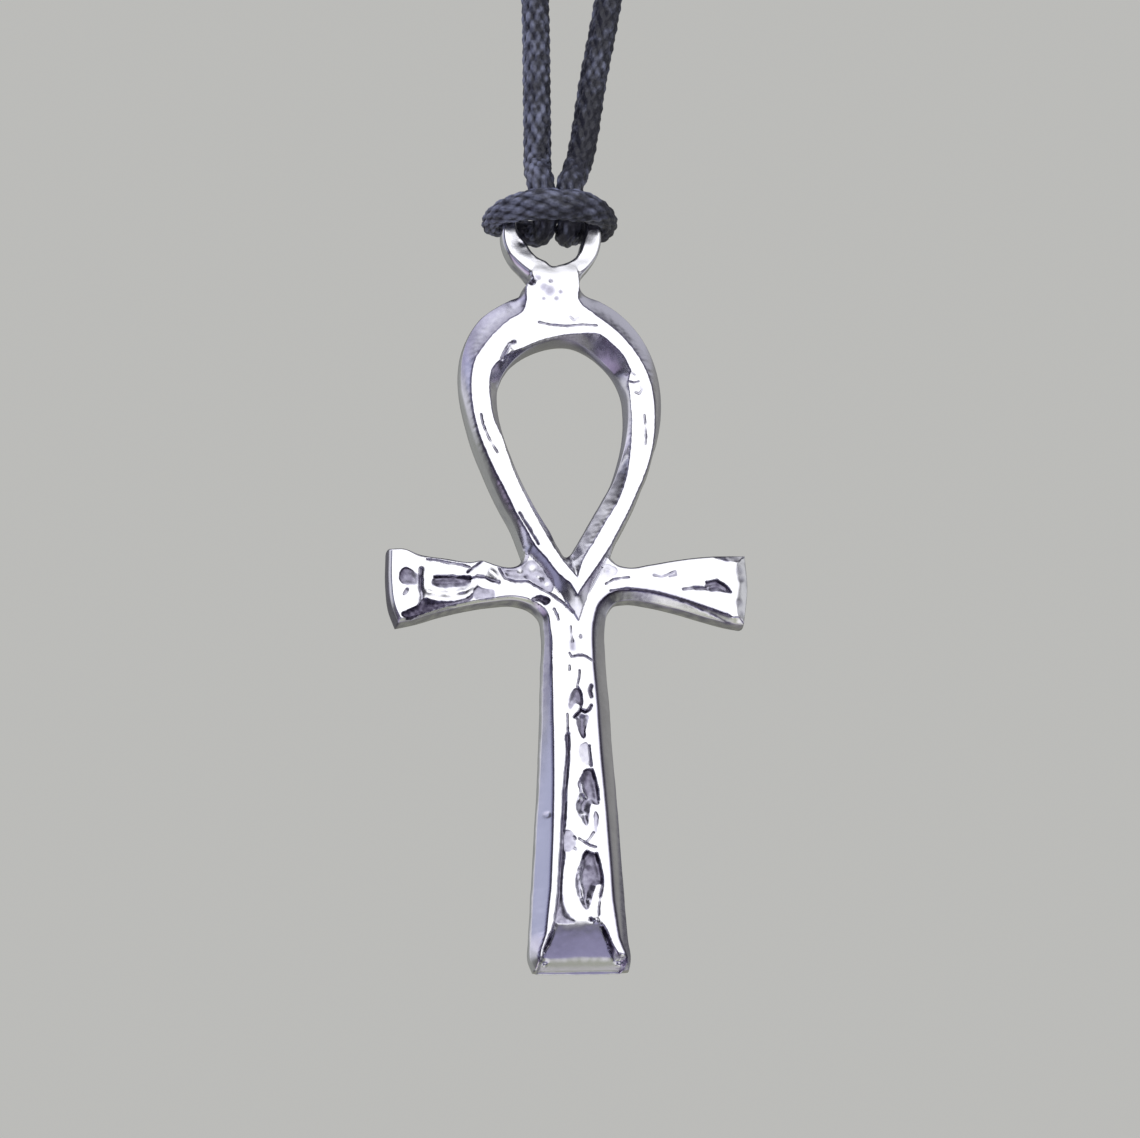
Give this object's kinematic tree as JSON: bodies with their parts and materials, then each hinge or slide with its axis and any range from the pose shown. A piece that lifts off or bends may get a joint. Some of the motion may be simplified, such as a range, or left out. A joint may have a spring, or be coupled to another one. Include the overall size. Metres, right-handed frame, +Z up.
{
  "type": "ankh pendant on a cord",
  "caption": "Cast metal ankh with a teardrop loop, flared arms and a relief shaft, tied by its ring to a braided neck cord that closes with a barrel.",
  "frame": {"origin": "underside of the closing barrel at the top of the necklace, straight above the ankh, where the necklace hangs", "axes": "+Z up, the ankh faces -Y, its arms lie along X"},
  "size_m": [0.038, 0.0071, 0.2677],
  "materials": {
    "cast_metal": "bright cast pewter, soft hand-finished edges and dark recesses",
    "waxed_cord": "black braided cotton with a dull wax sheen",
    "clasp_metal": "plain satin metal"
  },
  "bodies": {
    "neck_loop": {"cord_left": "waxed_cord", "cord_right": "waxed_cord", "cord_clasp": "clasp_metal"},
    "pendant": {"ankh": "cast_metal", "cord_hitch": "waxed_cord"}
  },
  "joints": [
    {"name": "pendant_swing", "type": "hinge", "parent": "neck_loop", "child": "pendant", "pos_m": [0.0005, 0, -0.2047], "axis": [1, 0, 0], "range_deg": [-40, 40]}
  ]
}
